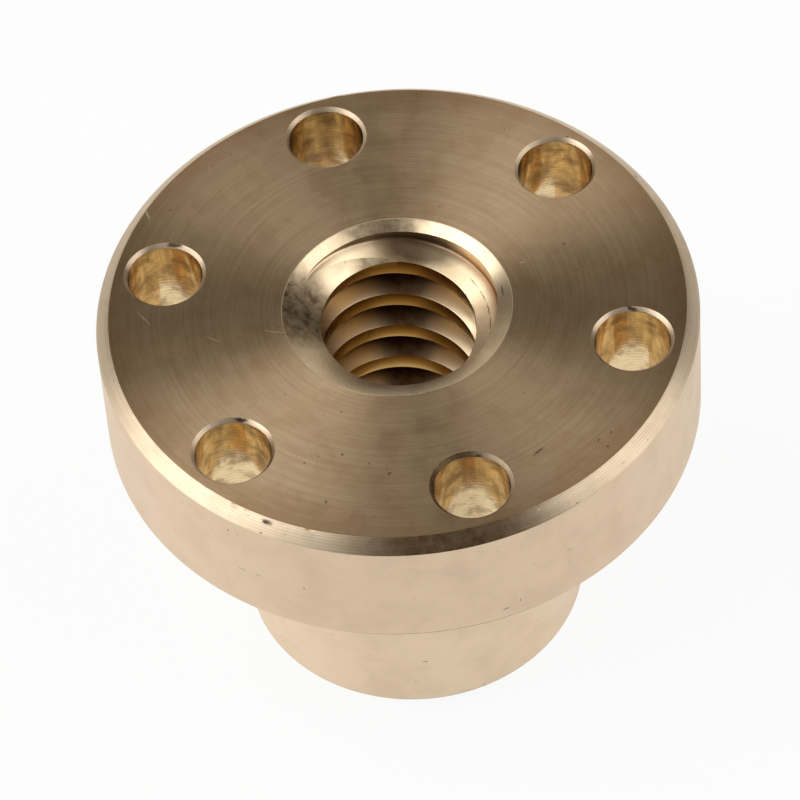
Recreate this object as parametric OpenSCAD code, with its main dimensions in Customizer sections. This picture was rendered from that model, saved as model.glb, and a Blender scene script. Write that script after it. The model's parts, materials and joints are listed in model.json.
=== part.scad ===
// Flanged lead screw nut, turned from one bronze bar.
// The hub's end face lies on z = 0 and the flange is at the top. The screw's axis is Z.
// The screw runs in a right-hand trapezoidal thread, cut as one helical groove right through.

/* [Hub] */
// Diameter of the hub that locates the nut in its housing
hub_d = 28; // [22:0.5:40]
// Length of the hub behind the flange
hub_l = 23; // [10:0.5:50]
// Chamfer round the hub's end
hub_chamfer = 1; // [0.2:0.1:2]
// Radius that the turning tool leaves between the hub and the flange
hub_fillet = 0.4; // [0.1:0.1:1]

/* [Flange] */
// Thickness of the flange
flange_t = 12; // [5:0.5:20]
// Chamfer round the flange's front edge
front_chamfer = 1; // [0.2:0.1:1.5]
// Chamfer round the flange's back edge
back_chamfer = 0.8; // [0.2:0.1:1.5]

/* [Bolt holes] */
// Number of bolt holes in the flange
bolt_count = 6; // [3:1:8]
// Diameter of each bolt hole
bolt_hole_d = 6; // [3:0.1:8]
// Metal between a bolt hole and the line of the hub
bolt_hub_gap = 2; // [1.5:0.1:5]
// Metal between a bolt hole and the flange's edge
bolt_rim_gap = 2; // [2:0.1:5]
// Chamfer at both ends of each bolt hole
bolt_hole_chamfer = 0.3; // [0.1:0.05:0.4]

/* [Thread] */
// Nominal diameter of the screw
screw_d = 16; // [14:0.5:18]
// Distance that the nut travels in one turn
pitch = 4; // [3:0.5:5]
// Space between the screw's crest and the nut's root
root_clearance = 0.25; // [0.1:0.05:0.4]
// Space between the nut's crest and the screw's core
crest_clearance = 0.45; // [0.2:0.05:0.6]
// Play along the axis between the nut's thread and the screw's
axial_play = 0.15; // [0.05:0.05:0.3]
// Slope of each flank from the plane across the axis
flank_angle = 15; // [10:1:20]
// Direction in which the middle of the groove reaches the flange's face
thread_start_angle = 158; // [0:1:359]
// Number of flat steps in one turn of a flank
steps_per_turn = 24; // [24:4:48]

/* [Bore ends] */
// How far the flange's conical lead-in reaches beyond the thread's root
front_lead_margin = 0.9; // [0.2:0.1:2]
// Slope of the flange's lead-in below the face
front_lead_angle = 33; // [25:1:50]
// How far the hub's conical lead-in reaches beyond the thread's root
hub_lead_margin = 0.9; // [0.2:0.1:2]
// Slope of the hub's lead-in from the end face
hub_lead_angle = 33; // [25:1:50]

/* [Hidden] */
$fn = 96;

// How far a cutter runs past the surface that it breaks through.
overrun = 1;
fillet_steps = 8;

nut_l = hub_l + flange_t;
hub_r = hub_d / 2;
bolt_hole_r = bolt_hole_d / 2;
bolt_circle_r = hub_r + bolt_hub_gap + bolt_hole_r;
flange_r = bolt_circle_r + bolt_hole_r + bolt_rim_gap;

// The flanks are half a pitch apart at the pitch radius, and the screw's core lies
// root_clearance below the nominal depth of half a pitch.
pitch_r = screw_d / 2 - pitch / 4;
root_r = screw_d / 2 + root_clearance;
bore_r = screw_d / 2 - pitch / 2 - root_clearance + crest_clearance;

// Half the width of the thread groove at a radius.
function groove_half_w(r) = (pitch / 2 + axial_play) / 2 - (r - pitch_r) * tan(flank_angle);

// The fillet between the hub and the flange's back face.
function fillet_arc() = [
    for (i = [0 : fillet_steps])
        let (a = 180 - 90 * i / fillet_steps)
        [hub_r + hub_fillet + hub_fillet * cos(a), hub_l - hub_fillet + hub_fillet * sin(a)]
];

// The turned outline, from the hub's end up to the flange's face, spun about the axis.
module turned_blank() {
    outline = concat(
        [[0, 0], [hub_r - hub_chamfer, 0], [hub_r, hub_chamfer]],
        fillet_arc(),
        [
            [flange_r - back_chamfer, hub_l],
            [flange_r, hub_l + back_chamfer],
            [flange_r, nut_l - front_chamfer],
            [flange_r - front_chamfer, nut_l],
            [0, nut_l]
        ]
    );
    rotate_extrude() polygon(outline);
}

// A straight hole along Z with a conical mouth at each end of the wall that it goes through.
// A mouth is given by its radius at the wall's face and its slope from that face.
module drilled_hole(r, bottom, top, bottom_mouth_r, bottom_slope, top_mouth_r, top_slope) {
    rotate_extrude() polygon([
        [0, bottom - overrun],
        [bottom_mouth_r + overrun / tan(bottom_slope), bottom - overrun],
        [r, bottom + (bottom_mouth_r - r) * tan(bottom_slope)],
        [r, top - (top_mouth_r - r) * tan(top_slope)],
        [top_mouth_r + overrun / tan(top_slope), top + overrun],
        [0, top + overrun]
    ]);
}

module bolt_holes() {
    mouth_r = bolt_hole_r + bolt_hole_chamfer;
    for (i = [0 : bolt_count - 1])
        rotate(i * 360 / bolt_count)
            translate([bolt_circle_r, 0, 0])
                drilled_hole(bolt_hole_r, hub_l, nut_l, mouth_r, 45, mouth_r, 45);
}

// The bore at the thread's crest, with a lead-in for the screw at each end.
module screw_bore() {
    drilled_hole(
        bore_r, 0, nut_l,
        root_r + hub_lead_margin, hub_lead_angle,
        root_r + front_lead_margin, front_lead_angle
    );
}

// The band that the threading tool sweeps: the groove's trapezoid, carried a little past the
// crest and past the root, in flat steps up a helix. It starts below the hub's end and stops
// above the flange's face. Each ring of points is one step, and the sides join ring to ring.
module groove_sweep() {
    inner_r = bore_r - overrun;
    outer_r = root_r + overrun / 4;
    section = [
        [inner_r, -groove_half_w(inner_r)],
        [outer_r, -groove_half_w(outer_r)],
        [outer_r, groove_half_w(outer_r)],
        [inner_r, groove_half_w(inner_r)]
    ];
    corners = len(section);
    first_step = -(ceil(nut_l / pitch) + 1) * steps_per_turn;
    last_step = steps_per_turn;
    points = [
        for (i = [first_step : last_step], p = section)
            let (a = thread_start_angle + 360 * i / steps_per_turn)
            [p.x * cos(a), p.x * sin(a), nut_l + pitch * i / steps_per_turn + p.y]
    ];
    last_ring = (last_step - first_step) * corners;
    sides = [
        for (ring = [0 : corners : last_ring - corners], c = [0 : corners - 1])
            let (a = ring + c, b = ring + (c + 1) % corners)
            each [[a, b + corners, a + corners], [a, b, b + corners]]
    ];
    low_end = [[2, 1, 0], [3, 2, 0]];
    high_end = [for (face = low_end) [for (i = [2 : -1 : 0]) last_ring + face[i]]];
    polyhedron(points, concat(low_end, sides, high_end), convexity = 12);
}

// The groove, trimmed to a true round root.
module thread_groove() {
    intersection() {
        groove_sweep();
        translate([0, 0, -overrun])
            cylinder(r = root_r, h = nut_l + 2 * overrun);
    }
}

module flanged_nut() {
    color("#b39a72")
        difference() {
            turned_blank();
            screw_bore();
            bolt_holes();
            thread_groove();
        }
}

flanged_nut();
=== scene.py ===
"""Flanged bronze lead screw nut: the turned piece with its finishes, and a plain studio.

The nut is modelled as it is made. A blank is turned, a tap cuts the trapezoidal thread, a drill
cuts the bolt holes, and then the rim takes the knocks of a shelf. Its axis is Z and its hub
stands on z = 0. Lengths are in metres.
"""

import json
import math

import bmesh
import bpy
from mathutils import Matrix, Vector


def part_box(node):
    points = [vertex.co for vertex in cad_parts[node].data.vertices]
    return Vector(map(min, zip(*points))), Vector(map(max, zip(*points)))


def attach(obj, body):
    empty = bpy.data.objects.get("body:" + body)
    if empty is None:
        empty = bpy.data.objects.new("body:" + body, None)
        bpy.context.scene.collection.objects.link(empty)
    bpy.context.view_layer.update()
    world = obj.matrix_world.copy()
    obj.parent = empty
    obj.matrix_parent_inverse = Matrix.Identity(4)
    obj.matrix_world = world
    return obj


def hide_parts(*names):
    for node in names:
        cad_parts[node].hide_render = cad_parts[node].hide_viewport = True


bl_info = {
    "name": "Flanged Lead Screw Nut",
    "version": (1, 0, 0),
    "blender": (4, 5, 0),
    "location": "View3D > Sidebar > Lead Screw Nut",
    "description": "Builds a turned bronze lead screw nut and a plain studio round it",
    "category": "Add Mesh",
}

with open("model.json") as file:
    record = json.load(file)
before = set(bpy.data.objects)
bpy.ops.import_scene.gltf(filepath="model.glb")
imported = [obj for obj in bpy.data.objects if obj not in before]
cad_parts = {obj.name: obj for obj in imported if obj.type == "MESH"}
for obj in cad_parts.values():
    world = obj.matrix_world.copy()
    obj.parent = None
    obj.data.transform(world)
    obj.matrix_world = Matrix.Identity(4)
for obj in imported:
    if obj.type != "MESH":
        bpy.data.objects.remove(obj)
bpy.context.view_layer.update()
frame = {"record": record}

MM = 0.001
NUT_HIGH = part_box("flanged_nut")[1]
MOUNTS = {mount["name"]: mount for mount in frame["record"]["mounts"]}


def mount_mm(mount, size):
    """A size of one of the part's mounts, in metres."""
    return MOUNTS[mount]["dims"][size] * MM


# --- What a user would change ------------------------------------------------------------


def length(name, description, default):
    """A length property shown in the scene's units."""
    return bpy.props.FloatProperty(
        name=name, description=description, default=default, min=0.0, unit="LENGTH", precision=5
    )


def angle(name, description, degrees):
    """An angle property, given in degrees."""
    return bpy.props.FloatProperty(
        name=name, description=description, default=math.radians(degrees), unit="ROTATION"
    )


def linear(code):
    """The linear colour of an sRGB hex value such as "#b39a72"."""
    channels = [int(code[i : i + 2], 16) / 255 for i in (1, 3, 5)]
    return [c / 12.92 if c <= 0.04045 else ((c + 0.055) / 1.055) ** 2.4 for c in channels]


def colour(name, description, code):
    """A colour property, given as an sRGB hex value."""
    return bpy.props.FloatVectorProperty(
        name=name, description=description, default=linear(code), subtype="COLOR", min=0.0, max=1.0
    )


def brightness(name, description, default):
    """A brightness property, on a scale on which 1 is white."""
    return bpy.props.FloatProperty(name=name, description=description, default=default, min=0.0)


class NutSizes(bpy.types.PropertyGroup):
    """Sizes of the nut."""

    flange_r: length("Flange radius", "Radius of the flange", NUT_HIGH.x)
    nut_l: length("Length", "Length of the nut along the screw", NUT_HIGH.z)
    seat_z: length(
        "Seat height", "Height of the flange's back face", MOUNTS["flange_seat"]["pos_m"][2]
    )
    hub_r: length("Hub radius", "Radius of the hub", mount_mm("hub_spigot", "r_mm"))
    front_chamfer: length("Front chamfer", "Chamfer round the flange's front edge", 1.0 * MM)
    back_chamfer: length("Back chamfer", "Chamfer round the flange's back edge", 0.8 * MM)
    hub_chamfer: length("Hub chamfer", "Chamfer round the hub's end", 1.0 * MM)
    hub_fillet: length("Hub fillet", "Radius between the hub and the flange", 0.4 * MM)
    edge_round: length("Broken edge", "How far each turned corner is rubbed off", 0.05 * MM)

    bolt_count: bpy.props.IntProperty(
        name="Bolt holes",
        description="Number of bolt holes in the flange",
        default=MOUNTS["bolt_holes"]["dims"]["count"],
        min=1,
    )
    bolt_circle_r: length(
        "Bolt circle radius", "Radius of the ring of holes", mount_mm("bolt_holes", "pcd_mm") / 2
    )
    bolt_hole_r: length(
        "Bolt hole radius", "Radius of a bolt hole", mount_mm("bolt_holes", "hole_r_mm")
    )
    bolt_hole_chamfer: length("Hole chamfer", "Chamfer at both ends of a bolt hole", 0.3 * MM)

    pitch: length("Pitch", "Distance that the nut travels in one turn", 4.0 * MM)
    crest_r: length(
        "Crest radius", "Radius of the thread's crest", mount_mm("lead_screw_thread", "r_mm")
    )
    root_r: length("Root radius", "Radius of the thread's root", 8.25 * MM)
    root_w: length("Root width", "Width of the thread groove at its root", 1.48 * MM)
    flank_angle: angle("Flank angle", "Slope of each flank from the plane across the axis", 15)
    thread_angle: angle("Thread start", "Where the groove's middle meets the flange's face", 158)
    root_round: length("Root round", "Size of the rounds in the groove's corners", 0.2 * MM)
    crest_round: length("Crest round", "Size of the rounds on the crest's corners", 0.03 * MM)
    lead_r: length("Lead-in radius", "Radius of the conical lead-in at both faces", 9.15 * MM)
    lead_angle: angle("Lead-in slope", "Slope of the lead-in below the face", 33)


class NutFinish(bpy.types.PropertyGroup):
    """Colours of the bronze and the spacing of its tool marks."""

    # The bronze is one metal. Its colours differ from surface to surface partly as painted light:
    # the chamfers, sides, lead-ins and flanks, which catch the brightest light, are set paler, and
    # the lands, which lie in shade, deeper and more golden.
    clean: colour("Clean bronze", "Freshly cut bronze, as on the chamfers", "#e4d0b4")
    turned: colour("Turned bronze", "Bronze dulled by handling, as on the sides", "#ead3b6")
    faced: colour("Faced bronze", "Bronze of the flange's face", "#bba587")
    bored: colour("Bored bronze", "Untouched bronze between the thread's grooves", "#c9a45c")
    drilled: colour("Drilled bronze", "Bronze of the walls of the bolt holes", "#edd3a4")
    bright: colour("Scratched bronze", "Bare metal in a fresh scratch", "#e2cfae")
    flank: colour("Flank bronze", "Bronze of the thread's flanks", "#f5e0bd")
    sunk: colour("Countersunk bronze", "Bronze of the conical lead-ins", "#ebd6b4")
    # Painted shade, mostly: in the thread's roots and over sectors of the flanks this dark brown
    # stands in for the shade in the groove. The face and the flange's side are also darkened with
    # it toward their rim.
    deep: colour("Root bronze", "Oily brown film in the thread's roots and by the rim", "#6d3e08")
    smear: colour("Smear", "Brown oil wiped over the lead-ins and the bolt holes", "#543b1c")
    tarnish: colour("Tarnish", "Brown film that handling leaves", "#8a6a45")
    # On the thread this colour also paints a patch of shade over the middle of the top flank.
    grime: colour("Grime", "Oil and swarf left in corners and nicks", "#2c2013")
    facing_pitch: length("Facing feed", "Spacing of the rings on the faces", 0.17 * MM)
    turning_pitch: length("Turning feed", "Spacing of the lines on the sides", 0.11 * MM)


class StudioSettings(bpy.types.PropertyGroup):
    """Camera and lights."""

    azimuth: angle("Camera azimuth", "Direction of view round the nut, from +Y", 15.677)
    elevation: angle("Camera elevation", "Height of the camera above the horizon", 51.304)
    roll: angle("Camera roll", "Turn of the camera about its own view", 4.369)
    distance: length("Camera distance", "From the lens to the flange's face", 431.31 * MM)
    offset_x: length("Offset across", "How far the face lies right of the middle", 0.328 * MM)
    offset_y: length("Offset up", "How far the face lies above the middle", 7.43 * MM)
    focal_length: bpy.props.FloatProperty(
        name="Focal length", description="Of the lens, in millimetres", default=244.9, min=1.0,
        unit="CAMERA",
    )
    ground: colour("Ground", "Pale card that the nut stands on", "#f4f3f1")
    dim: colour("Dim room", "Warm colour of the room's dark parts", "#fff5e6")
    left_glow: brightness("Left softbox", "Brightness of the left softbox's cloth", 2.1)
    right_glow: brightness("Right softbox", "Brightness of the right softbox's cloth", 1.5)
    room_glow: brightness("Room glow", "Brightness of the room along the horizon", 1.3)


# --- Finishes and wear -------------------------------------------------------------------

# The order of the nut's material slots.
FINISHES = ["faced", "turned", "chamfered", "countersunk", "flanks", "lands", "drilled"]

# Scratches and nicks, in millimetres on the finished nut. Each is an ellipsoid: its middle, its
# turn about Z in degrees, and its length, breadth and height.
FACE_SCRATCHES = [
    ((-19.6, -4.7, 35.0), -38, (2.4, 0.13, 0.5)),
    ((-13.6, -5.85, 35.0), -12, (1.6, 0.12, 0.5)),
    ((-9.0, -4.25, 35.0), 3, (2.2, 0.12, 0.5)),
    ((-21.9, 5.9, 35.0), -58, (1.6, 0.14, 0.5)),
    ((8.9, 6.2, 35.0), 25, (0.5, 0.12, 0.5)),
]
FACE_NICKS = [
    ((3.0, -16.5, 35.0), 20, (0.34, 0.26, 0.5)),
    ((-1.25, -20.1, 35.0), 70, (0.36, 0.26, 0.5)),
    ((-2.0, -11.2, 35.0), 0, (0.30, 0.24, 0.5)),
    ((-1.0, -15.3, 35.0), 30, (0.32, 0.22, 0.5)),
    ((19.1, -10.9, 35.0), 0, (0.30, 0.20, 0.5)),
    ((19.1, -9.5, 35.0), 40, (0.30, 0.20, 0.5)),
    ((18.3, -10.4, 35.0), 80, (0.70, 0.13, 0.5)),
    ((-13.7, -19.0, 35.0), -35, (1.30, 0.10, 0.5)),
    ((13.9, -12.4, 35.0), 55, (1.50, 0.20, 0.5)),
]
SIDE_NICKS = [
    ((-8.6, -22.4, 32.7), 21, (0.26, 1.0, 0.26)),
    ((-18.9, -14.8, 27.0), -52, (0.22, 1.0, 0.22)),
    ((-7.8, -22.7, 28.3), -19, (0.95, 1.0, 0.11)),
    ((-6.3, -23.2, 28.4), -15, (0.70, 1.0, 0.10)),
    ((-2.5, -23.9, 28.5), 0, (0.22, 1.0, 0.26)),
    ((17.1, -16.8, 29.0), 45, (0.80, 1.0, 0.08)),
    ((12.7, -20.4, 24.9), 32, (0.60, 1.0, 0.16)),
    ((13.7, -19.7, 25.4), 35, (0.16, 1.0, 0.36)),
    ((3.9, -13.5, 6.2), 15, (0.50, 1.0, 0.20)),
]
RIM_SCRATCHES = [
    ((-8.2, -21.7, 34.9), -21, (1.1, 0.22, 0.5)),
    ((-7.0, -22.2, 34.9), -18, (0.9, 0.20, 0.5)),
    ((-2.1, -23.0, 34.9), -5, (1.2, 0.20, 0.5)),
    ((15.0, -17.8, 34.9), 40, (0.8, 0.20, 0.5)),
    ((17.4, -16.2, 34.7), 47, (0.9, 0.20, 0.5)),
]
RIM_NICKS = [
    ((-5.3, -22.55, 34.6), -13, (1.5, 0.35, 0.8)),
    ((-12.3, -19.5, 34.6), -32, (1.4, 0.28, 0.6)),
    ((20.5, -11.8, 34.6), 60, (0.5, 0.22, 0.6)),
    ((-9.7, 20.9, 34.9), 25, (1.3, 0.40, 0.6)),
    ((-18.9, 3.2, 34.9), 5, (1.8, 0.40, 0.6)),
    ((18.3, 3.1, 34.9), -8, (1.3, 0.35, 0.6)),
    ((9.3, 19.3, 34.9), -15, (1.2, 0.35, 0.6)),
    ((9.4, -13.5, 34.9), 8, (1.2, 0.35, 0.6)),
    ((-9.6, -13.3, 34.9), 4, (1.4, 0.35, 0.6)),
]
LEAD_NICKS = [
    ((7.3, -2.0, 34.1), -110, (1.2, 0.18, 1.2)),
    ((7.8, 3.4, 34.5), -66, (1.5, 0.17, 1.0)),
]
THREAD_NICKS_AND_SHADE = [
    ((4.5, 4.4, 32.3), -45, (1.6, 0.5, 0.35)),
    ((5.4, 3.1, 32.2), -60, (1.3, 0.5, 0.30)),
    ((-3.9, 4.8, 30.6), 40, (0.7, 0.6, 0.40)),
    ((3.9, 4.8, 27.0), -40, (0.6, 0.6, 0.35)),
    # Not a nick: painted shade, a broad dark patch over the middle of the top flank, where the
    # groove lies in shade.
    ((0.2, 7.2, 33.5), -3, (8.4, 3.0, 2.4)),
    ((5.1, 5.2, 32.9), -44, (1.5, 0.13, 1.0)),
    ((6.0, 4.15, 32.8), -54, (1.5, 0.13, 1.0)),
    ((6.7, 2.95, 32.6), -66, (1.6, 0.14, 1.0)),
    ((7.15, 1.6, 32.5), -77, (1.7, 0.15, 1.0)),
    ((7.35, 0.15, 32.4), -89, (1.8, 0.17, 1.0)),
    ((7.25, -1.4, 32.2), -101, (1.8, 0.24, 1.0)),
]

# Darker sectors round the axis. Each is its middle and its half angle in degrees, and its most. On
# the rim and in the bolt holes they are grime, on the thread's flanks painted shade, and on the
# lead-ins they make the cone browner.
RIM_GRIME = [(-68, 25, 0.95)]
LEAD_DARK_SECTORS = [(111, 30, 0.75), (-172, 34, 0.95), (12, 30, 0.25)]
# Painted shade on the flanks: the middle, the right and the left of the groove, where it lies in
# shade.
THREAD_SHADE_SECTORS = [(100, 22, 0.9), (6, 36, 0.5), (190, 44, 0.92)]
HOLE_GRIME = [(122, 8, 0.45), (300, 8, 0.25)]

# A height above the whole nut, for darkening that fades out nowhere.
NOWHERE_FADED = 99 * MM

# Knocks that bent the rim in. Each is its direction round the axis in degrees, and its radius,
# height and length in millimetres.
RIM_KNOCKS = [
    (165.6, 23.95, 34.05, 1.5),
    (163.4, 23.05, 34.98, 0.8),
    (-110.6, 23.05, 34.98, 0.7),
    (-107.9, 23.05, 34.98, 0.6),
    (-103.2, 23.30, 34.70, 0.9),
    (-94.6, 23.03, 34.98, 0.9),
    (-49.8, 23.04, 34.98, 0.5),
    (-42.5, 23.90, 34.10, 0.6),
    (28.0, 23.95, 34.05, 0.5),
]


# --- Meshes ------------------------------------------------------------------------------


def draw_outline(bm, points):
    """Draws an open outline in the X-Z half plane and returns its vertices."""
    verts = [bm.verts.new((r, 0.0, z)) for r, z in points]
    for pair in zip(verts, verts[1:]):
        bm.edges.new(pair)
    return verts


def round_corners(bm, corners, size, segments):
    """Rounds corners of an outline. The size is measured along the outline from each corner."""
    bmesh.ops.bevel(
        bm, geom=corners, offset=size, offset_type="OFFSET", affect="VERTICES",
        segments=segments, profile=0.5, material=-1, clamp_overlap=True,
    )


def revolve(bm, steps):
    """Spins the outline one full turn about Z and closes it into a solid."""
    bmesh.ops.spin(
        bm, geom=bm.verts[:] + bm.edges[:], cent=(0, 0, 0), axis=(0, 0, 1), dvec=(0, 0, 0),
        angle=math.tau, steps=steps, use_merge=True, use_duplicate=False,
    )
    bmesh.ops.remove_doubles(bm, verts=bm.verts[:], dist=1e-7)
    bmesh.ops.recalc_face_normals(bm, faces=bm.faces[:])


def finish_index(face, sizes):
    """Slot number of the finish that a turned face has, from how far it looks along the axis."""
    if abs(face.normal.z) > 0.995:
        return FINISHES.index("faced")
    if abs(face.normal.z) < 0.1:
        return FINISHES.index("turned")
    if face.calc_center_median().xy.length < sizes.lead_r:
        return FINISHES.index("countersunk")
    return FINISHES.index("chamfered")


def turn_blank(sizes):
    """The bar turned to the nut's outline, with a conical lead-in at each end.

    Each cone ends on a flat floor a little inside the bore, which the tap then cuts away.
    """
    steps = 720
    floor_r = sizes.crest_r - 0.5 * MM
    lead_depth = (sizes.lead_r - floor_r) * math.tan(sizes.lead_angle)
    bm = bmesh.new()
    verts = draw_outline(bm, [
        (0, lead_depth),
        (floor_r, lead_depth),
        (sizes.lead_r, 0),
        (sizes.hub_r - sizes.hub_chamfer, 0),
        (sizes.hub_r, sizes.hub_chamfer),
        (sizes.hub_r, sizes.seat_z),
        (sizes.flange_r - sizes.back_chamfer, sizes.seat_z),
        (sizes.flange_r, sizes.seat_z + sizes.back_chamfer),
        (sizes.flange_r, sizes.nut_l - sizes.front_chamfer),
        (sizes.flange_r - sizes.front_chamfer, sizes.nut_l),
        (sizes.lead_r, sizes.nut_l),
        (floor_r, sizes.nut_l - lead_depth),
        (0, sizes.nut_l - lead_depth),
    ])
    inner_corner = verts[5]
    outer_corners = [v for v in verts[2:-2] if v is not inner_corner]
    round_corners(bm, outer_corners, sizes.edge_round, segments=3)
    round_corners(bm, [inner_corner], sizes.hub_fillet, segments=6)
    revolve(bm, steps)
    bm.normal_update()
    for face in bm.faces:
        face.material_index = finish_index(face, sizes)
    return bm


def cut_tap(sizes):
    """A tap whose surface is the thread: one pitch of outline, wound up a helix.

    It starts below the hub's end, ends above the flange's face, and is then cut square just past
    both.
    """
    steps_per_turn = 144
    past = 2 * MM
    turns_in_nut = math.ceil(sizes.nut_l / sizes.pitch)
    turns_below, turns_above = 1, 2
    crest_w = sizes.root_w + 2 * (sizes.root_r - sizes.crest_r) * math.tan(sizes.flank_angle)
    bm = bmesh.new()
    verts = draw_outline(bm, [
        (sizes.crest_r, -sizes.pitch / 2),
        (sizes.crest_r, -crest_w / 2),
        (sizes.root_r, -sizes.root_w / 2),
        (sizes.root_r, sizes.root_w / 2),
        (sizes.crest_r, crest_w / 2),
        (sizes.crest_r, sizes.pitch / 2),
    ])
    round_corners(bm, [verts[1], verts[4]], sizes.crest_round, segments=3)
    round_corners(bm, [verts[2], verts[3]], sizes.root_round, segments=4)
    start = sizes.nut_l - (turns_in_nut + turns_below) * sizes.pitch
    bmesh.ops.translate(bm, verts=bm.verts[:], vec=(0, 0, start))
    bmesh.ops.rotate(
        bm, verts=bm.verts[:], cent=(0, 0, 0), matrix=Matrix.Rotation(sizes.thread_angle, 3, "Z")
    )
    bmesh.ops.spin(
        bm, geom=bm.verts[:] + bm.edges[:], cent=(0, 0, 0), axis=(0, 0, 1),
        dvec=(0, 0, sizes.pitch / steps_per_turn), angle=math.tau,
        steps=steps_per_turn, use_merge=False, use_duplicate=False,
    )
    first_turn = bm.verts[:] + bm.edges[:] + bm.faces[:]
    for turn in range(1, turns_below + turns_in_nut + turns_above):
        copy = bmesh.ops.duplicate(bm, geom=first_turn)["geom"]
        bmesh.ops.translate(
            bm, verts=[item for item in copy if isinstance(item, bmesh.types.BMVert)],
            vec=(0, 0, turn * sizes.pitch),
        )
    bmesh.ops.remove_doubles(bm, verts=bm.verts[:], dist=1e-6)
    for height, up in ((-past, -1), (sizes.nut_l + past, 1)):
        cut = bmesh.ops.bisect_plane(
            bm, geom=bm.verts[:] + bm.edges[:] + bm.faces[:], dist=1e-9,
            plane_co=(0, 0, height), plane_no=(0, 0, up), clear_outer=True,
        )
        rim = [item for item in cut["geom_cut"] if isinstance(item, bmesh.types.BMEdge)]
        bmesh.ops.contextual_create(bm, geom=rim)
    bmesh.ops.recalc_face_normals(bm, faces=bm.faces[:])
    bm.normal_update()
    mid_r = (sizes.crest_r + sizes.root_r) / 2
    for face in bm.faces:
        upright = abs(face.normal.z) < 0.3
        land = upright and face.calc_center_median().xy.length < mid_r
        face.material_index = FINISHES.index("lands" if land else "flanks")
    return bm


def grind_drill(sizes):
    """Drills with a chamfer at each end, one for each bolt hole."""
    steps = 120
    past = 1 * MM
    mouth_r = sizes.bolt_hole_r + sizes.bolt_hole_chamfer
    bm = bmesh.new()
    verts = draw_outline(bm, [
        (0, sizes.seat_z - past),
        (mouth_r + past, sizes.seat_z - past),
        (sizes.bolt_hole_r, sizes.seat_z + sizes.bolt_hole_chamfer),
        (sizes.bolt_hole_r, sizes.nut_l - sizes.bolt_hole_chamfer),
        (mouth_r + past, sizes.nut_l + past),
        (0, sizes.nut_l + past),
    ])
    round_corners(bm, verts[2:4], 0.04 * MM, segments=2)
    revolve(bm, steps)
    bm.normal_update()
    for face in bm.faces:
        bore = abs(face.normal.z) < 0.1
        face.material_index = FINISHES.index("drilled" if bore else "chamfered")
    bmesh.ops.translate(bm, verts=bm.verts[:], vec=(sizes.bolt_circle_r, 0, 0))
    first = bm.verts[:] + bm.edges[:] + bm.faces[:]
    for i in range(1, sizes.bolt_count):
        copy = bmesh.ops.duplicate(bm, geom=first)["geom"]
        bmesh.ops.rotate(
            bm, verts=[item for item in copy if isinstance(item, bmesh.types.BMVert)],
            cent=(0, 0, 0), matrix=Matrix.Rotation(math.tau * i / sizes.bolt_count, 3, "Z"),
        )
    return bm


def forge_knocks():
    """What knocked the rim: small blunt lumps, each lying along the rim."""
    breadth = 0.22  # of a lump, as a share of its length
    bm = bmesh.new()
    for turn, radius, height, size in RIM_KNOCKS:
        lump = bmesh.ops.create_icosphere(bm, subdivisions=2, radius=size / 2 * MM)["verts"]
        bmesh.ops.scale(bm, verts=lump, vec=(breadth, 1.0, breadth))
        bmesh.ops.translate(bm, verts=lump, vec=(radius * MM, 0, height * MM))
        bmesh.ops.rotate(
            bm, verts=lump, cent=(0, 0, 0), matrix=Matrix.Rotation(math.radians(turn), 3, "Z")
        )
    for face in bm.faces:
        face.material_index = FINISHES.index("chamfered")
    return bm


def new_object(name, bm, materials=()):
    """A new object that holds the bmesh, with its materials."""
    mesh = bpy.data.meshes.new(name)
    bm.to_mesh(mesh)
    bm.free()
    for material in materials:
        mesh.materials.append(material)
    piece = bpy.data.objects.new(name, mesh)
    bpy.context.scene.collection.objects.link(piece)
    return piece


def apply_modifiers(piece):
    """Replaces the piece's mesh by what its modifiers make of it."""
    evaluated = piece.evaluated_get(bpy.context.evaluated_depsgraph_get())
    mesh = bpy.data.meshes.new_from_object(evaluated)
    piece.modifiers.clear()
    piece.data = mesh


def smooth_turned_faces(piece):
    """Shades the turned surfaces smooth and keeps every cut edge sharp."""
    sharp_from = math.radians(28)
    mesh = piece.data
    mesh.shade_smooth()
    mesh.set_sharp_from_angle(angle=sharp_from)
    weighted = piece.modifiers.new("Even Shading", "WEIGHTED_NORMAL")
    weighted.keep_sharp = True
    weighted.weight = 100  # large faces set the shading, and the small rounds follow them
    apply_modifiers(piece)


def cut_away(piece, cutters):
    """Cuts the cutters out of the piece, with their finishes on the cuts, and removes them."""
    for cutter in cutters:
        cut = piece.modifiers.new("Cut " + cutter.name, "BOOLEAN")
        cut.operation = "DIFFERENCE"
        cut.solver = "MANIFOLD"
        cut.material_mode = "TRANSFER"
        cut.object = cutter
    apply_modifiers(piece)
    for cutter in cutters:
        bpy.data.objects.remove(cutter)


# --- Materials ---------------------------------------------------------------------------

# A Mix node has one set of sockets for each kind of value. These are the ones for colours.
MIX_A, MIX_B, MIX_RESULT = 6, 7, 2


def add_node(tree, kind, inputs=None, **settings):
    """Adds a node with its settings. Each input takes a value or another node's output."""
    node = tree.nodes.new(kind)
    for name, value in settings.items():
        setattr(node, name, value)
    for key, value in (inputs or {}).items():
        if isinstance(value, bpy.types.NodeSocket):
            tree.links.new(value, node.inputs[key])
        else:
            node.inputs[key].default_value = value
    return node


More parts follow.
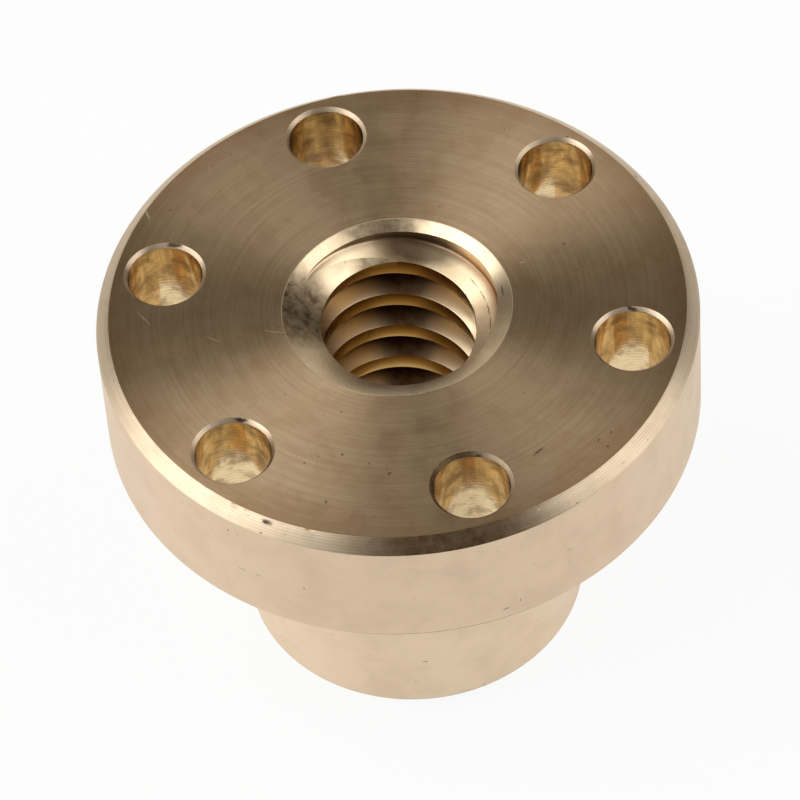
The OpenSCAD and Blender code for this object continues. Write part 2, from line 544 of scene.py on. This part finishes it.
def tool_lines(tree, place, across, spacing):
    """Height of the lines that a tool leaves, about 0 to 1.

    An even feed mark is broken up by a stronger uneven one, a little coarser, which fades in and
    out round the axis over about ten millimetres.
    """
    fade = 10 * MM
    even_share = 0.2
    uneven_per_even = 0.7
    phase = add_node(
        tree, "ShaderNodeMath", {0: across, 1: math.tau / spacing}, operation="MULTIPLY"
    ).outputs[0]
    feed = add_node(tree, "ShaderNodeMath", {0: phase}, operation="SINE").outputs[0]
    lines = add_node(
        tree, "ShaderNodeMath", {0: across, 1: uneven_per_even / spacing}, operation="MULTIPLY"
    ).outputs[0]
    slow = add_node(
        tree, "ShaderNodeVectorMath", {0: place, "Scale": 1 / fade}, operation="SCALE"
    ).outputs[0]
    slow_axes = add_node(tree, "ShaderNodeSeparateXYZ", {0: slow}).outputs
    drawn = add_node(
        tree, "ShaderNodeCombineXYZ", {"X": lines, "Y": slow_axes["X"], "Z": slow_axes["Y"]}
    ).outputs[0]
    uneven = add_node(
        tree, "ShaderNodeTexNoise", {"Vector": drawn, "Scale": 1.0, "Detail": 3.0}
    ).outputs["Fac"]
    return add_node(
        tree, "ShaderNodeMath", {0: feed, 1: even_share, 2: uneven}, operation="MULTIPLY_ADD"
    ).outputs[0]


def wear_and_shade_marks(tree, place, marks):
    """How far a point lies in one of the marks, 0 to 1. The marks' edges are ragged."""
    raggedness = 0.25 * MM
    tear = 0.35 * MM
    ragged = add_node(
        tree, "ShaderNodeTexNoise", {"Vector": place, "Scale": 1 / tear, "Detail": 2.0}
    ).outputs["Color"]
    torn = add_node(
        tree, "ShaderNodeVectorMath",
        {0: ragged, 1: (raggedness,) * 3, 2: place}, operation="MULTIPLY_ADD",
    ).outputs[0]
    torn = add_node(
        tree, "ShaderNodeVectorMath", {0: torn, 1: (raggedness / 2,) * 3}, operation="SUBTRACT"
    ).outputs[0]
    inside = 0.0
    for middle, turn, size in marks:
        local = add_node(
            tree, "ShaderNodeMapping",
            {
                "Vector": torn, "Location": [v * MM for v in middle],
                "Rotation": (0, 0, math.radians(turn)), "Scale": [v * MM / 2 for v in size],
            },
            vector_type="TEXTURE",
        ).outputs[0]
        away = add_node(
            tree, "ShaderNodeVectorMath", {0: local}, operation="LENGTH"
        ).outputs["Value"]
        one = add_node(
            tree, "ShaderNodeMapRange",
            {"Value": away, "From Min": 0.55, "From Max": 1.0, "To Min": 1.0, "To Max": 0.0},
        ).outputs["Result"]
        inside = add_node(
            tree, "ShaderNodeMath", {0: one, 1: inside}, operation="MAXIMUM"
        ).outputs[0]
    return inside


def sector_grime_and_shade(tree, place, flat, sectors, mottled):
    """Darkening in sectors round the axis, 0 to 1: grime on the rim and in the bolt holes, and
    painted shade on the thread's flanks.

    mottled is the share of it that comes and goes from spot to spot.
    """
    spot = 0.9 * MM
    outward = add_node(tree, "ShaderNodeVectorMath", {0: flat}, operation="NORMALIZE").outputs[0]
    near = 0.0
    for middle, half, most in sectors:
        toward = (math.cos(math.radians(middle)), math.sin(math.radians(middle)), 0)
        along = add_node(
            tree, "ShaderNodeVectorMath", {0: outward, 1: toward}, operation="DOT_PRODUCT"
        ).outputs["Value"]
        one = add_node(
            tree, "ShaderNodeMapRange",
            {"Value": along, "From Min": math.cos(math.radians(half)), "To Max": most},
            interpolation_type="SMOOTHSTEP",
        ).outputs["Result"]
        near = add_node(tree, "ShaderNodeMath", {0: one, 1: near}, operation="MAXIMUM").outputs[0]
    mottle = add_node(
        tree, "ShaderNodeTexNoise",
        {"Vector": place, "Scale": 1 / spot, "Detail": 5.0, "Roughness": 0.65},
    ).outputs["Fac"]
    spots = add_node(
        tree, "ShaderNodeMapRange",
        {"Value": mottle, "From Min": 0.32, "From Max": 0.70, "To Min": 1.0 - mottled},
        interpolation_type="SMOOTHSTEP",
    ).outputs["Result"]
    return add_node(tree, "ShaderNodeMath", {0: near, 1: spots}, operation="MULTIPLY").outputs[0]


def bronze(
    name, finish, clean, roughness, drawn_out, lines_along, line_spacing, line_depth,
    film, film_size, film_stretch=1.0, tarnish=None, line_shade=0.0, deep=None,
    sectors=(), mottled=0.5, dirt_and_shade=None, scratches=(), nicks=(), nick_depth=0.6, pitting=0.7,
):
    """Bronze cut by a tool that runs round an axis, with what handling leaves on it, and painted
    shade in the tool's valleys and the thread's groove.

    clean is the metal's colour, which is set paler on the brightly lit surfaces and deeper on the
    lands, as painted light. The tool's fine lines follow one another along the radius or the
    axis. They draw reflected light out across themselves, and line_shade paints shade into the
    valleys between them, in the colour tarnish. A thin film, in the colour tarnish, lies in soft
    patches and dulls the metal. Its patches are film_size across, and film_stretch shortens them
    along the axis. pitting is how dark the small specks in the metal's pores are.

    deep darkens the metal outwards between two radii, toward the root colour. In the thread's
    roots it is painted shade, the shade deep in the groove. Its values are the radii that it
    grows between, the height above which it fades out, and its most. sectors darkens sectors
    round the axis: grime on the rim and in the bolt holes, painted shade on the thread's flanks,
    and browner on the lead-ins. Its colour is the smear's unless another is given, it fades out
    above the same height, and mottled is its share that comes in spots.
    nick_depth is how dark the nicks are, and on the thread the patch of painted shade too.
    """
    pore = 0.5 * MM
    top_fade = 2 * MM  # the height over which the outward darkening and the sectors fade out at the top
    tarnish = tarnish or finish.tarnish
    material = bpy.data.materials.new(name)
    material.use_nodes = True
    tree = material.node_tree
    tree.nodes.clear()
    place = add_node(tree, "ShaderNodeTexCoord").outputs["Object"]
    axes = add_node(tree, "ShaderNodeSeparateXYZ", {0: place}).outputs
    flat = add_node(tree, "ShaderNodeCombineXYZ", {"X": axes["X"], "Y": axes["Y"]}).outputs[0]
    radius = add_node(tree, "ShaderNodeVectorMath", {0: flat}, operation="LENGTH").outputs["Value"]
    across = radius if lines_along == "radius" else axes["Z"]
    lines = tool_lines(tree, place, across, line_spacing)

    # The stains and painted shade, from the lowest up: how strong each is from place to place, and
    # its colour.
    # Some of them also dull the metal: where each does, and how much roughness it adds at most.
    stretched = add_node(
        tree, "ShaderNodeMapping", {"Vector": place, "Scale": (1, 1, film_stretch)}
    ).outputs[0]
    cloud = add_node(
        tree, "ShaderNodeTexNoise",
        {"Vector": stretched, "Scale": 1 / film_size, "Detail": 6.0, "Roughness": 0.62,
         "Distortion": 0.3},
    ).outputs["Fac"]
    patches = add_node(
        tree, "ShaderNodeMapRange",
        {"Value": cloud, "From Min": 0.38, "From Max": 0.70, "To Max": film},
        interpolation_type="SMOOTHSTEP",
    ).outputs["Result"]
    stains_and_shade = [(patches, tarnish)]
    dulling = [(patches, 0.25)]

    below = 1.0
    # Darkening outwards between two radii; in the thread's roots it is painted shade.
    if deep:
        low_r, high_r, fade_top_z, most = deep
        outward_darkening = add_node(
            tree, "ShaderNodeMapRange",
            {"Value": radius, "From Min": low_r, "From Max": high_r, "To Max": most},
        ).outputs["Result"]
        below = add_node(
            tree, "ShaderNodeMapRange",
            {"Value": axes["Z"], "From Min": fade_top_z, "From Max": fade_top_z - top_fade},
        ).outputs["Result"]
        outward_darkening = add_node(
            tree, "ShaderNodeMath", {0: outward_darkening, 1: below}, operation="MULTIPLY"
        ).outputs[0]
        stains_and_shade.append((outward_darkening, finish.deep))

    pores = add_node(
        tree, "ShaderNodeTexNoise", {"Vector": place, "Scale": 1 / pore, "Detail": 2.0}
    ).outputs["Fac"]
    specks = add_node(
        tree, "ShaderNodeMapRange",
        {"Value": pores, "From Min": 0.71, "From Max": 0.79, "To Max": pitting},
    ).outputs["Result"]
    stains_and_shade.append((specks, finish.grime))

    # Painted shade in the valleys between the tool's lines, in the film's colour.
    if line_shade:
        valleys = add_node(
            tree, "ShaderNodeMapRange",
            {"Value": lines, "From Min": 0.75, "From Max": 0.25, "To Max": line_shade},
        ).outputs["Result"]
        stains_and_shade.append((valleys, tarnish))
    # Darkening in sectors round the axis; on the thread's flanks it is painted shade.
    if sectors:
        sector_darkening = sector_grime_and_shade(tree, place, flat, sectors, mottled)
        sector_darkening = add_node(
            tree, "ShaderNodeMath", {0: sector_darkening, 1: below}, operation="MULTIPLY"
        ).outputs[0]
        stains_and_shade.append((sector_darkening, dirt_and_shade or finish.smear))
        dulling.append((sector_darkening, 0.15))
    if scratches:
        torn = wear_and_shade_marks(tree, place, scratches)
        stains_and_shade.append((torn, finish.bright))
        dulling.append((torn, 0.25))
    # Nicks filled with grime; on the thread also a patch of painted shade.
    if nicks:
        filled_and_shaded = wear_and_shade_marks(tree, place, nicks)
        filled_and_shaded = add_node(
            tree, "ShaderNodeMath", {0: filled_and_shaded, 1: nick_depth}, operation="MULTIPLY"
        ).outputs[0]
        stains_and_shade.append((filled_and_shaded, finish.grime))

    surface = (*clean, 1)
    for strength, stain in stains_and_shade:
        surface = add_node(
            tree, "ShaderNodeMix", {0: strength, MIX_A: surface, MIX_B: (*stain, 1)},
            data_type="RGBA",
        ).outputs[MIX_RESULT]
    dulled = roughness
    for strength, added in dulling:
        dulled = add_node(
            tree, "ShaderNodeMath", {0: strength, 1: added, 2: dulled}, operation="MULTIPLY_ADD"
        ).outputs[0]

    # The light is drawn out across the lines: square to the way round the axis.
    normal = add_node(tree, "ShaderNodeNewGeometry").outputs["Normal"]
    round_axis = add_node(
        tree, "ShaderNodeVectorMath", {0: (0, 0, 1), 1: flat}, operation="CROSS_PRODUCT"
    ).outputs[0]
    across_lines = add_node(
        tree, "ShaderNodeVectorMath", {0: round_axis, 1: normal}, operation="CROSS_PRODUCT"
    ).outputs[0]
    relief = add_node(
        tree, "ShaderNodeBump", {"Height": lines, "Distance": line_depth, "Strength": 1.0}
    ).outputs["Normal"]
    shader = add_node(
        tree, "ShaderNodeBsdfPrincipled",
        {
            "Base Color": surface, "Metallic": 1.0, "Roughness": dulled, "Anisotropic": drawn_out,
            "Tangent": across_lines, "Normal": relief,
        },
    ).outputs[0]
    add_node(tree, "ShaderNodeOutputMaterial", {"Surface": shader})
    return material


def faced_bronze(finish):
    """Bronze faced on the lathe: rings one feed apart, with the light drawn out into sectors."""
    return bronze(
        "faced_bronze", finish, finish.faced, roughness=0.41, drawn_out=0.91,
        lines_along="radius", line_spacing=finish.facing_pitch, line_depth=0.004 * MM,
        film=0.26, film_size=2.4 * MM, line_shade=0.40,
        deep=(19.5 * MM, 23.5 * MM, NOWHERE_FADED, 0.34),
        scratches=FACE_SCRATCHES, nicks=FACE_NICKS,
    )


def turned_bronze(finish):
    """Bronze turned to a fine finish and dulled by handling: soft, with no clear lines."""
    return bronze(
        "turned_bronze", finish, finish.turned, roughness=0.40, drawn_out=0.6,
        lines_along="axis", line_spacing=finish.turning_pitch, line_depth=0.001 * MM,
        # Painted light: the root colour darkens the flange's side and back but not the hub, so that
        # the hub looks lighter, standing in for the bright ground that it mirrors.
        film=0.11, film_size=4 * MM, deep=(15 * MM, 22 * MM, NOWHERE_FADED, 0.11),
        nicks=SIDE_NICKS, pitting=0.3,
    )


def chamfered_bronze(finish):
    """Bronze cut last, by a tool held across the corner: bright, with open lines."""
    return bronze(
        "chamfered_bronze", finish, finish.clean, roughness=0.43, drawn_out=0.6,
        lines_along="radius", line_spacing=0.17 * MM, line_depth=0.008 * MM,
        film=0.14, film_size=3 * MM, line_shade=0.22, sectors=RIM_GRIME, mottled=0.15,
        scratches=RIM_SCRATCHES, nicks=RIM_NICKS, nick_depth=0.85,
    )


def countersunk_bronze(finish):
    """Bronze of the conical lead-ins: pale, and browner in three mottled sectors round the axis."""
    return bronze(
        "countersunk_bronze", finish, finish.sunk, roughness=0.27, drawn_out=0.3,
        lines_along="radius", line_spacing=0.2 * MM, line_depth=0.001 * MM,
        film=0.24, film_size=2.5 * MM, sectors=LEAD_DARK_SECTORS, mottled=0.6, nicks=LEAD_NICKS,
    )


def flank_bronze(finish):
    """Bronze of the thread's flanks and roots: pale, partly to paint in the light that reaches the
    groove, with dark brown painted shade deep in the roots and in sectors of the flanks.
    """
    return bronze(
        "flank_bronze", finish, finish.flank, roughness=0.28, drawn_out=0.3,
        lines_along="radius", line_spacing=0.15 * MM, line_depth=0.001 * MM,
        # Painted shade: the dark root colour outwards in the groove and in sectors of the flanks.
        film=0.15, film_size=3 * MM, deep=(7.5 * MM, 8.15 * MM, 34.8 * MM, 0.92),
        sectors=THREAD_SHADE_SECTORS, mottled=0.25, dirt_and_shade=finish.deep,
        nicks=THREAD_NICKS_AND_SHADE, nick_depth=0.68, pitting=0.0,
    )


def land_bronze(finish):
    """Bronze of the bore between the grooves: golden, its deeper colour partly painted shade, and
    smooth from the reamer.
    """
    return bronze(
        "land_bronze", finish, finish.bored, roughness=0.24, drawn_out=0.3,
        lines_along="axis", line_spacing=0.15 * MM, line_depth=0.001 * MM,
        film=0.15, film_size=3 * MM, nicks=THREAD_NICKS_AND_SHADE, pitting=0.0,
    )


def drilled_bronze(finish):
    """Bronze of the bolt holes: bright, with the drill's rings and smears of its oil."""
    return bronze(
        "drilled_bronze", finish, finish.drilled, roughness=0.10, drawn_out=0.2,
        lines_along="axis", line_spacing=0.36 * MM, line_depth=0.002 * MM,
        film=0.6, film_size=1.8 * MM, film_stretch=1.3, tarnish=finish.smear, line_shade=0.14,
        sectors=HOLE_GRIME, mottled=0.3, pitting=0.4,
    )


def card_white(studio):
    """Pale matt card. Part of its brightness is its own, both to the eye and in the metal.

    So the card stays white, and the nut's shadow on it stays soft.
    """
    own_to_eye = 0.92
    own_in_metal = 0.78
    material = bpy.data.materials.new("pale_card")
    material.use_nodes = True
    tree = material.node_tree
    tree.nodes.clear()
    ray = add_node(tree, "ShaderNodeLightPath").outputs
    mirrored = add_node(
        tree, "ShaderNodeMath", {0: ray["Is Glossy Ray"], 1: ray["Is Transmission Ray"]},
        operation="MAXIMUM",
    ).outputs[0]
    mirrored = add_node(
        tree, "ShaderNodeMath", {0: mirrored, 1: own_in_metal}, operation="MULTIPLY"
    ).outputs[0]
    seen = add_node(
        tree, "ShaderNodeMath", {0: ray["Is Camera Ray"], 1: own_to_eye}, operation="MULTIPLY"
    ).outputs[0]
    share = add_node(tree, "ShaderNodeMath", {0: seen, 1: mirrored}, operation="MAXIMUM").outputs[0]
    matt = add_node(tree, "ShaderNodeBsdfDiffuse", {"Color": (*studio.ground, 1)}).outputs[0]
    white = add_node(tree, "ShaderNodeEmission", {"Strength": 1.0}).outputs[0]
    mixed = add_node(tree, "ShaderNodeMixShader", {0: share, 1: matt, 2: white}).outputs[0]
    add_node(tree, "ShaderNodeOutputMaterial", {"Surface": mixed})
    return material


# --- Studio ------------------------------------------------------------------------------


def view_axes(studio):
    """The unturned camera's right, up and forward directions."""
    turn = Matrix.Rotation(studio.azimuth, 3, "Z")
    right = turn @ Vector((1, 0, 0))
    away = turn @ Vector((0, 1, 0))
    forward = away * math.cos(studio.elevation) - Vector((0, 0, math.sin(studio.elevation)))
    return right, right.cross(forward), forward


def place_camera(studio, sizes):
    """Puts the camera before the flange's face, a little aside so that the nut is framed."""
    right, up, forward = view_axes(studio)
    face = Vector((0, 0, sizes.nut_l))
    spot = face - right * studio.offset_x - up * studio.offset_y - forward * studio.distance
    turned = Matrix.Rotation(studio.roll, 3, forward)
    axes = Matrix((turned @ right, turned @ up, -forward)).transposed()
    data = bpy.data.cameras.new("camera")
    data.lens = studio.focal_length
    data.sensor_width = 36
    data.clip_start = 0.01
    camera = bpy.data.objects.new("camera", data)
    camera.matrix_world = Matrix.Translation(spot) @ axes.to_4x4()
    bpy.context.scene.collection.objects.link(camera)
    bpy.context.scene.camera = camera


def add_softbox(name, studio, glow, aside, height, width, tall):
    """A softbox that faces the nut. aside is its direction from the camera's, to the right.

    Its power is what gives a lamp of its size the brightness asked for.
    """
    distance = 0.9
    toward = Matrix.Rotation(studio.azimuth + aside, 3, "Z") @ Vector((0, -1, 0))
    direction = toward * math.cos(height) + Vector((0, 0, math.sin(height)))
    data = bpy.data.lights.new(name, "AREA")
    data.shape = "RECTANGLE"
    data.size = width
    data.size_y = tall
    data.energy = glow * math.pi * width * tall
    lamp = bpy.data.objects.new(name, data)
    facing = direction.to_track_quat("Z", "Y").to_matrix().to_4x4()
    lamp.matrix_world = Matrix.Translation(direction * distance) @ facing
    lamp.visible_camera = False
    bpy.context.scene.collection.objects.link(lamp)


def light_room(studio):
    """A room that is pale along the horizon behind the nut, and dark above and by the camera.

    Its dark parts are a little warm, and two patches of its ceiling are lit. The metal sees the
    room as it is, or the flange's dark and light sectors would be lost. To the eye it is white.
    """
    dark = 0.06
    dark_from = 1.06  # how far aside and up from the pale horizon the room is dark
    by_camera = 0.25  # the share of its brightness that the room keeps on the camera's side
    patch_height = math.radians(66)
    patches = ((math.radians(-138), 0.55), (math.radians(122), 0.3))  # aside, and brightness
    world = bpy.data.worlds.new("room")
    bpy.context.scene.world = world
    world.use_nodes = True
    tree = world.node_tree
    tree.nodes.clear()
    right = view_axes(studio)[0]
    toward = Vector((right.y, -right.x, 0))
    direction = add_node(tree, "ShaderNodeTexCoord").outputs["Generated"]
    aside = add_node(
        tree, "ShaderNodeVectorMath", {0: direction, 1: right}, operation="DOT_PRODUCT"
    ).outputs["Value"]
    aside = add_node(tree, "ShaderNodeMath", {0: aside}, operation="ABSOLUTE").outputs[0]
    height = add_node(tree, "ShaderNodeSeparateXYZ", {0: direction}).outputs["Z"]
    away = add_node(tree, "ShaderNodeMath", {0: aside, 1: height}, operation="ADD").outputs[0]
    pale = add_node(
        tree, "ShaderNodeMapRange",
        {"Value": away, "From Max": dark_from, "To Min": studio.room_glow, "To Max": dark},
    ).outputs["Result"]
    before = add_node(
        tree, "ShaderNodeVectorMath", {0: direction, 1: toward}, operation="DOT_PRODUCT"
    ).outputs["Value"]
    shade = add_node(
        tree, "ShaderNodeMapRange", {"Value": before, "To Min": 1.0, "To Max": by_camera}
    ).outputs["Result"]
    room = add_node(
        tree, "ShaderNodeMath", {0: pale, 1: shade}, operation="MULTIPLY"
    ).outputs[0]
    for side, level in patches:
        patch = Matrix.Rotation(side, 3, "Z") @ toward * math.cos(patch_height)
        patch.z = math.sin(patch_height)
        near = add_node(
            tree, "ShaderNodeVectorMath", {0: direction, 1: patch}, operation="DOT_PRODUCT"
        ).outputs["Value"]
        lit = add_node(
            tree, "ShaderNodeMapRange",
            {"Value": near, "From Min": 0.88, "From Max": 0.985, "To Max": level},
            interpolation_type="SMOOTHSTEP",
        ).outputs["Result"]
        room = add_node(
            tree, "ShaderNodeMath", {0: room, 1: lit}, operation="ADD"
        ).outputs[0]
    seen = add_node(tree, "ShaderNodeLightPath").outputs["Is Camera Ray"]
    strength = add_node(
        tree, "ShaderNodeMix", {0: seen, 2: room, 3: 1.0}, data_type="FLOAT"
    ).outputs[0]
    tint = add_node(
        tree, "ShaderNodeMix",
        {0: away, MIX_A: (1, 1, 1, 1), MIX_B: (*studio.dim, 1)}, data_type="RGBA",
    ).outputs[MIX_RESULT]
    background = add_node(
        tree, "ShaderNodeBackground", {"Color": tint, "Strength": strength}
    ).outputs[0]
    add_node(tree, "ShaderNodeOutputWorld", {"Surface": background})


# --- Operators and panel -----------------------------------------------------------------


class NUT_OT_turned_nut(bpy.types.Operator):
    """Turns, taps and drills the bronze nut, and gives each cut its finish"""

    bl_idname = "nut.turned_nut"
    bl_label = "Add Turned Nut"

    def execute(self, context):
        sizes = context.scene.nut_sizes
        finish = context.scene.nut_finish
        materials = [
            faced_bronze(finish), turned_bronze(finish), chamfered_bronze(finish),
            countersunk_bronze(finish), flank_bronze(finish), land_bronze(finish),
            drilled_bronze(finish),
        ]
        piece = new_object("turned_nut", turn_blank(sizes), materials)
        tap = new_object("tap", cut_tap(sizes), materials)
        drill = new_object("drill", grind_drill(sizes), materials)
        knocks = new_object("knocks", forge_knocks(), materials)
        cut_away(piece, [tap, drill, knocks])
        smooth_turned_faces(piece)
        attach(piece, "root")
        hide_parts("flanged_nut")
        return {"FINISHED"}


class NUT_OT_studio(bpy.types.Operator):
    """Sets up the pale ground, the two softboxes, the room and the camera"""

    bl_idname = "nut.studio"
    bl_label = "Add Studio"

    def execute(self, context):
        studio = context.scene.nut_studio
        ground_r = 3.0
        bm = bmesh.new()
        bmesh.ops.create_circle(bm, cap_ends=True, segments=128, radius=ground_r)
        ground = new_object("ground", bm, [card_white(studio)])
        add_softbox(
            "softbox_left", studio, studio.left_glow,
            aside=math.radians(-80), height=math.radians(38), width=1.0, tall=1.42,
        )
        add_softbox(
            "softbox_right", studio, studio.right_glow,
            aside=math.radians(79), height=math.radians(36), width=0.75, tall=1.3,
        )
        light_room(studio)
        place_camera(studio, context.scene.nut_sizes)
        context.scene.view_settings.view_transform = "Standard"
        return {"FINISHED"}


class NUT_PT_panel(bpy.types.Panel):
    """Lists the sizes, the finish and the studio, and the operators that build them"""

    bl_idname = "NUT_PT_panel"
    bl_label = "Lead Screw Nut"
    bl_space_type = "VIEW_3D"
    bl_region_type = "UI"
    bl_category = "Lead Screw Nut"

    def draw(self, context):
        for group, operator in (
            (context.scene.nut_sizes, NUT_OT_turned_nut),
            (context.scene.nut_finish, None),
            (context.scene.nut_studio, NUT_OT_studio),
        ):
            box = self.layout.box()
            for name in group.bl_rna.properties.keys():
                if name not in ("rna_type", "name"):
                    box.prop(group, name)
            if operator:
                box.operator(operator.bl_idname)


CLASSES = (NutSizes, NutFinish, StudioSettings, NUT_OT_turned_nut, NUT_OT_studio, NUT_PT_panel)


def register():
    """Adds the classes and the scene's settings."""
    for cls in CLASSES:
        bpy.utils.register_class(cls)
    bpy.types.Scene.nut_sizes = bpy.props.PointerProperty(type=NutSizes)
    bpy.types.Scene.nut_finish = bpy.props.PointerProperty(type=NutFinish)
    bpy.types.Scene.nut_studio = bpy.props.PointerProperty(type=StudioSettings)


def unregister():
    """Takes the settings and the classes away again."""
    del bpy.types.Scene.nut_studio
    del bpy.types.Scene.nut_finish
    del bpy.types.Scene.nut_sizes
    for cls in reversed(CLASSES):
        bpy.utils.unregister_class(cls)


def main():
    """Builds the nut and its studio."""
    register()
    bpy.ops.nut.turned_nut()
    bpy.ops.nut.studio()


if __name__ == "__main__":
    main()
